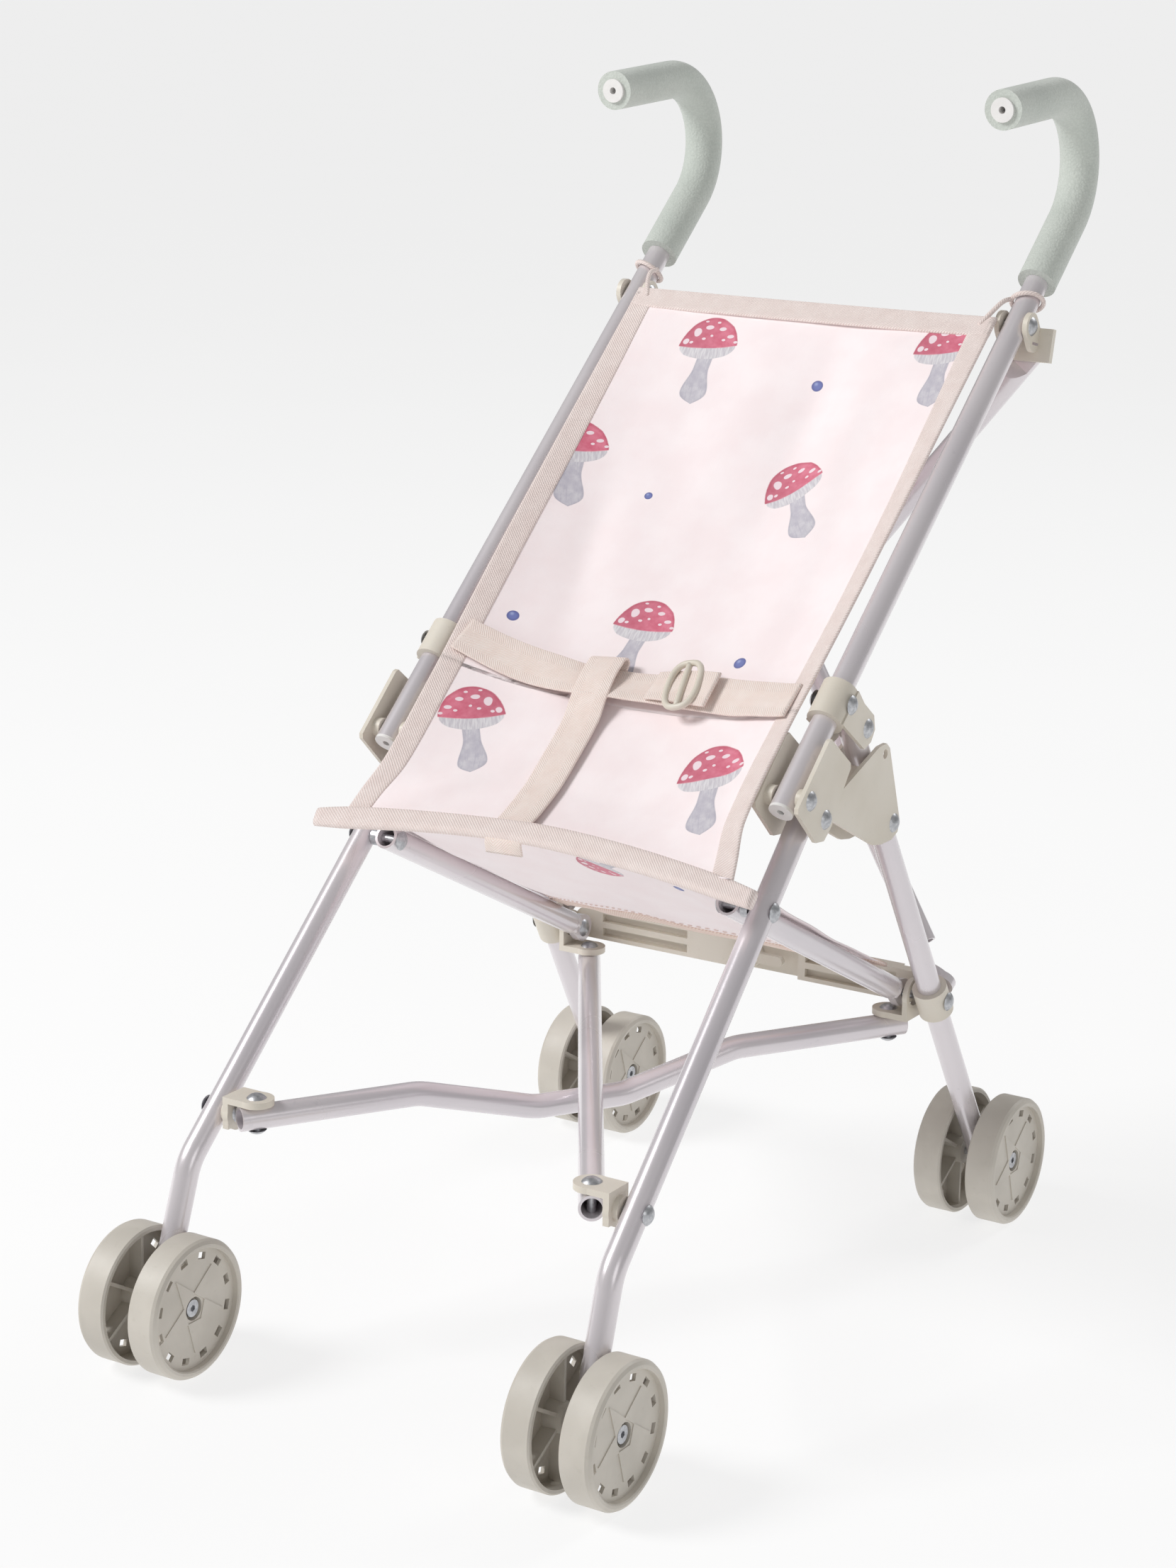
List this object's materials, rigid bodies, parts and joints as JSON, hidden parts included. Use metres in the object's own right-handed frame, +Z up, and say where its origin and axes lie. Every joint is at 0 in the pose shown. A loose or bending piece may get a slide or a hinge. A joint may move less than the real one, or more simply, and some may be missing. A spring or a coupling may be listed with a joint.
{
  "type": "doll stroller",
  "caption": "Folding toy stroller for dolls with an umbrella frame, crook handles with foam grips, twin wheels and a soft sling seat with a lap belt.",
  "frame": {"origin": "on the floor, midway between the axles and midway between the left and right wheels", "axes": "+X to the stroller's left side, -Y to its front, +Z up"},
  "size_m": [0.268, 0.4868, 0.561],
  "materials": {
    "painted_tube": "gloss",
    "plastic": "satin",
    "zinc": "satin",
    "foam": "matte",
    "wheel_plastic": "satin",
    "print_fabric": "satin",
    "webbing": "matte"
  },
  "bodies": {
    "seat": {"seat_back": "print_fabric", "seat_base": "print_fabric", "seat_belt": "webbing", "belt_buckle": "plastic", "cord_loops": "webbing"},
    "handle_left": {"handle_left": "painted_tube", "grip_left": "foam", "plugs_left": "plastic", "clamp_left": "plastic", "hinge_plates_left": "plastic", "handle_rivets_left": "zinc"},
    "rear_leg_left": {"rear_leg_left": "painted_tube", "rear_rivets_left": "zinc", "leg_collar_left": "plastic", "axle_rear_left": "zinc"},
    "front_leg_left": {"front_leg_left": "painted_tube", "front_rivets_left": "zinc", "axle_front_left": "zinc"},
    "seat_rail_left": {"seat_rail_left": "painted_tube", "rail_rivet_left": "zinc"},
    "lock_link_left": {"lock_link_left": "plastic"},
    "front_corner_left": {"front_corner_left": "plastic"},
    "rear_corner_left": {"rear_corner_left": "plastic"},
    "clevis_left": {"clevis_left": "plastic"},
    "wheel_front_left_out": {"wheel_front_left_out": "wheel_plastic"},
    "wheel_front_left_in": {"wheel_front_left_in": "wheel_plastic"},
    "wheel_rear_left_out": {"wheel_rear_left_out": "wheel_plastic"},
    "wheel_rear_left_in": {"wheel_rear_left_in": "wheel_plastic"},
    "handle_right": {"handle_right": "painted_tube", "grip_right": "foam", "plugs_right": "plastic", "clamp_right": "plastic", "hinge_plates_right": "plastic", "handle_rivets_right": "zinc"},
    "rear_leg_right": {"rear_leg_right": "painted_tube", "rear_rivets_right": "zinc", "leg_collar_right": "plastic", "axle_rear_right": "zinc"},
    "front_leg_right": {"front_leg_right": "painted_tube", "front_rivets_right": "zinc", "axle_front_right": "zinc"},
    "seat_rail_right": {"seat_rail_right": "painted_tube", "rail_rivet_right": "zinc"},
    "lock_link_right": {"lock_link_right": "plastic"},
    "front_corner_right": {"front_corner_right": "plastic"},
    "rear_corner_right": {"rear_corner_right": "plastic"},
    "clevis_right": {"clevis_right": "plastic"},
    "wheel_front_right_out": {"wheel_front_right_out": "wheel_plastic"},
    "wheel_front_right_in": {"wheel_front_right_in": "wheel_plastic"},
    "wheel_rear_right_out": {"wheel_rear_right_out": "wheel_plastic"},
    "wheel_rear_right_in": {"wheel_rear_right_in": "wheel_plastic"},
    "cross_tube_high": {"cross_tube_high": "painted_tube", "cross_rivets_high": "zinc"},
    "cross_tube_low": {"cross_tube_low": "painted_tube", "cross_rivets_low": "zinc"},
    "sway_tube_front": {"sway_tube_front": "painted_tube"},
    "sway_tube_back": {"sway_tube_back": "painted_tube"},
    "crossbar_left": {"crossbar_left": "plastic"},
    "crossbar_right": {"crossbar_right": "plastic"},
    "latch_lever": {"latch_lever": "plastic"}
  },
  "joints": [
    {"name": "side_shift_left", "type": "slide", "parent": "seat", "child": "handle_left", "axis": [-1, 0, 0], "range_m": [0, 0.0223], "deforming": ["seat_back", "seat_base", "seat_belt", "belt_buckle", "cord_loops"]},
    {"name": "rear_leg_left", "type": "hinge", "parent": "handle_left", "child": "rear_leg_left", "pos_m": [0.1055, 0.03977, 0.2817], "axis": [1, 0, 0], "range_deg": [-14, 0]},
    {"name": "front_leg_left", "type": "hinge", "parent": "handle_left", "child": "front_leg_left", "pos_m": [0.1055, -0.002, 0.24911], "axis": [1, 0, 0], "range_deg": [-29.98, 0]},
    {"name": "seat_rail_left", "type": "hinge", "parent": "front_leg_left", "child": "seat_rail_left", "pos_m": [0.0915, -0.03804, 0.21448], "axis": [1, 0, 0], "range_deg": [0, 15.48]},
    {"name": "lock_link_left", "type": "hinge", "parent": "rear_leg_left", "child": "lock_link_left", "pos_m": [0.10681, 0.06933, 0.23123], "axis": [1, 0, 0], "range_deg": [-3.52, 0]},
    {"name": "front_corner_left", "type": "hinge", "parent": "front_leg_left", "child": "front_corner_left", "pos_m": [0.11032, -0.1457, 0.111], "axis": [1, 0, 0], "range_deg": [0, 9.26]},
    {"name": "clevis_left", "type": "hinge", "parent": "handle_left", "child": "clevis_left", "pos_m": [0.1055, 0.19578, 0.44645], "axis": [1, 0, 0], "range_deg": [-5.5, 0]},
    {"name": "side_shift_right", "type": "slide", "parent": "seat", "child": "handle_right", "axis": [1, 0, 0], "range_m": [0, 0.0223]},
    {"name": "rear_leg_right", "type": "hinge", "parent": "handle_right", "child": "rear_leg_right", "pos_m": [-0.1055, 0.03977, 0.2817], "axis": [1, 0, 0], "range_deg": [-14.02, 0]},
    {"name": "front_leg_right", "type": "hinge", "parent": "handle_right", "child": "front_leg_right", "pos_m": [-0.1055, -0.002, 0.24911], "axis": [1, 0, 0], "range_deg": [-29.98, 0]},
    {"name": "seat_rail_right", "type": "hinge", "parent": "front_leg_right", "child": "seat_rail_right", "pos_m": [-0.0915, -0.03804, 0.21448], "axis": [1, 0, 0], "range_deg": [0, 15.48]},
    {"name": "lock_link_right", "type": "hinge", "parent": "rear_leg_right", "child": "lock_link_right", "pos_m": [-0.10681, 0.06933, 0.23123], "axis": [1, 0, 0], "range_deg": [-3.52, 0]},
    {"name": "front_corner_right", "type": "hinge", "parent": "front_leg_right", "child": "front_corner_right", "pos_m": [-0.11032, -0.1457, 0.111], "axis": [1, 0, 0], "range_deg": [0, 9.26]},
    {"name": "clevis_right", "type": "hinge", "parent": "handle_right", "child": "clevis_right", "pos_m": [-0.1055, 0.19578, 0.44645], "axis": [1, 0, 0], "range_deg": [-5.5, 0]},
    {"name": "cross_tube_high", "type": "hinge", "parent": "front_corner_left", "child": "cross_tube_high", "pos_m": [0.0883, -0.1457, 0.111], "axis": [0, 0, 1], "range_deg": [-8.97, 0]},
    {"name": "rear_corner_right", "type": "hinge", "parent": "cross_tube_high", "child": "rear_corner_right", "pos_m": [-0.086, 0.1292, 0.111], "axis": [0, 0, 1], "range_deg": [0, 8.97]},
    {"name": "cross_tube_low", "type": "hinge", "parent": "front_corner_right", "child": "cross_tube_low", "pos_m": [-0.0883, -0.1457, 0.111], "axis": [0, 0, 1], "range_deg": [0, 8.97]},
    {"name": "rear_corner_left", "type": "hinge", "parent": "cross_tube_low", "child": "rear_corner_left", "pos_m": [0.086, 0.1292, 0.111], "axis": [0, 0, 1], "range_deg": [-8.97, 0]},
    {"name": "sway_tube_front", "type": "hinge", "parent": "clevis_left", "child": "sway_tube_front", "pos_m": [0.112, 0.20822, 0.43588], "axis": [0, -0.9746, 0.224], "range_deg": [0, 8]},
    {"name": "sway_tube_back", "type": "hinge", "parent": "clevis_right", "child": "sway_tube_back", "pos_m": [-0.112, 0.20822, 0.43588], "axis": [0, 0.9746, -0.224], "range_deg": [0, 8]},
    {"name": "crossbar_left", "type": "hinge", "parent": "rear_leg_left", "child": "crossbar_left", "pos_m": [0.09348, 0.1436, 0.129], "axis": [0, 1, 0], "range_deg": [0, 40.41]},
    {"name": "crossbar_right", "type": "hinge", "parent": "rear_leg_right", "child": "crossbar_right", "pos_m": [-0.09348, 0.1436, 0.129], "axis": [0, -1, 0], "range_deg": [0, 40.41]},
    {"name": "latch_lever", "type": "hinge", "parent": "crossbar_right", "child": "latch_lever", "pos_m": [0, 0.1436, 0.129], "axis": [0, 1, 0], "range_deg": [-25, 0]},
    {"name": "wheel_front_left_out", "type": "hinge", "parent": "front_leg_left", "child": "wheel_front_left_out", "pos_m": [0.119, -0.186, 0.032], "axis": [1, 0, 0], "continuous": true},
    {"name": "wheel_front_left_in", "type": "hinge", "parent": "front_leg_left", "child": "wheel_front_left_in", "pos_m": [0.105, -0.186, 0.032], "axis": [1, 0, 0], "continuous": true},
    {"name": "wheel_rear_left_out", "type": "hinge", "parent": "rear_leg_left", "child": "wheel_rear_left_out", "pos_m": [0.119, 0.186, 0.032], "axis": [1, 0, 0], "continuous": true},
    {"name": "wheel_rear_left_in", "type": "hinge", "parent": "rear_leg_left", "child": "wheel_rear_left_in", "pos_m": [0.105, 0.186, 0.032], "axis": [1, 0, 0], "continuous": true},
    {"name": "wheel_front_right_out", "type": "hinge", "parent": "front_leg_right", "child": "wheel_front_right_out", "pos_m": [-0.119, -0.186, 0.032], "axis": [1, 0, 0], "continuous": true},
    {"name": "wheel_front_right_in", "type": "hinge", "parent": "front_leg_right", "child": "wheel_front_right_in", "pos_m": [-0.105, -0.186, 0.032], "axis": [1, 0, 0], "continuous": true},
    {"name": "wheel_rear_right_out", "type": "hinge", "parent": "rear_leg_right", "child": "wheel_rear_right_out", "pos_m": [-0.119, 0.186, 0.032], "axis": [1, 0, 0], "continuous": true},
    {"name": "wheel_rear_right_in", "type": "hinge", "parent": "rear_leg_right", "child": "wheel_rear_right_in", "pos_m": [-0.105, 0.186, 0.032], "axis": [1, 0, 0], "continuous": true}
  ],
  "couplings": [
    {"joint": "side_shift_left", "follows": "rear_leg_left", "m_per_rad": -0.091198},
    {"joint": "front_leg_left", "follows": "rear_leg_left", "ratio": 2.1403},
    {"joint": "seat_rail_left", "follows": "rear_leg_left", "ratio": -1.1044},
    {"joint": "lock_link_left", "follows": "rear_leg_left", "ratio": 0.25},
    {"joint": "front_corner_left", "follows": "rear_leg_left", "ratio": -0.6601},
    {"joint": "clevis_left", "follows": "rear_leg_left", "ratio": 0.3913},
    {"joint": "side_shift_right", "follows": "rear_leg_left", "m_per_rad": -0.091198},
    {"joint": "rear_leg_right", "follows": "rear_leg_left", "ratio": 1},
    {"joint": "front_leg_right", "follows": "rear_leg_left", "ratio": 2.1403},
    {"joint": "seat_rail_right", "follows": "rear_leg_left", "ratio": -1.1044},
    {"joint": "lock_link_right", "follows": "rear_leg_left", "ratio": 0.25},
    {"joint": "front_corner_right", "follows": "rear_leg_left", "ratio": -0.6601},
    {"joint": "clevis_right", "follows": "rear_leg_left", "ratio": 0.3913},
    {"joint": "cross_tube_high", "follows": "rear_leg_left", "ratio": 0.6396},
    {"joint": "rear_corner_right", "follows": "rear_leg_left", "ratio": -0.6396},
    {"joint": "cross_tube_low", "follows": "rear_leg_left", "ratio": -0.6396},
    {"joint": "rear_corner_left", "follows": "rear_leg_left", "ratio": 0.6396},
    {"joint": "sway_tube_front", "follows": "rear_leg_left", "ratio": -0.5699},
    {"joint": "sway_tube_back", "follows": "rear_leg_left", "ratio": -0.5699},
    {"joint": "crossbar_left", "follows": "rear_leg_left", "ratio": -2.8853},
    {"joint": "crossbar_right", "follows": "rear_leg_left", "ratio": -2.8853}
  ]
}
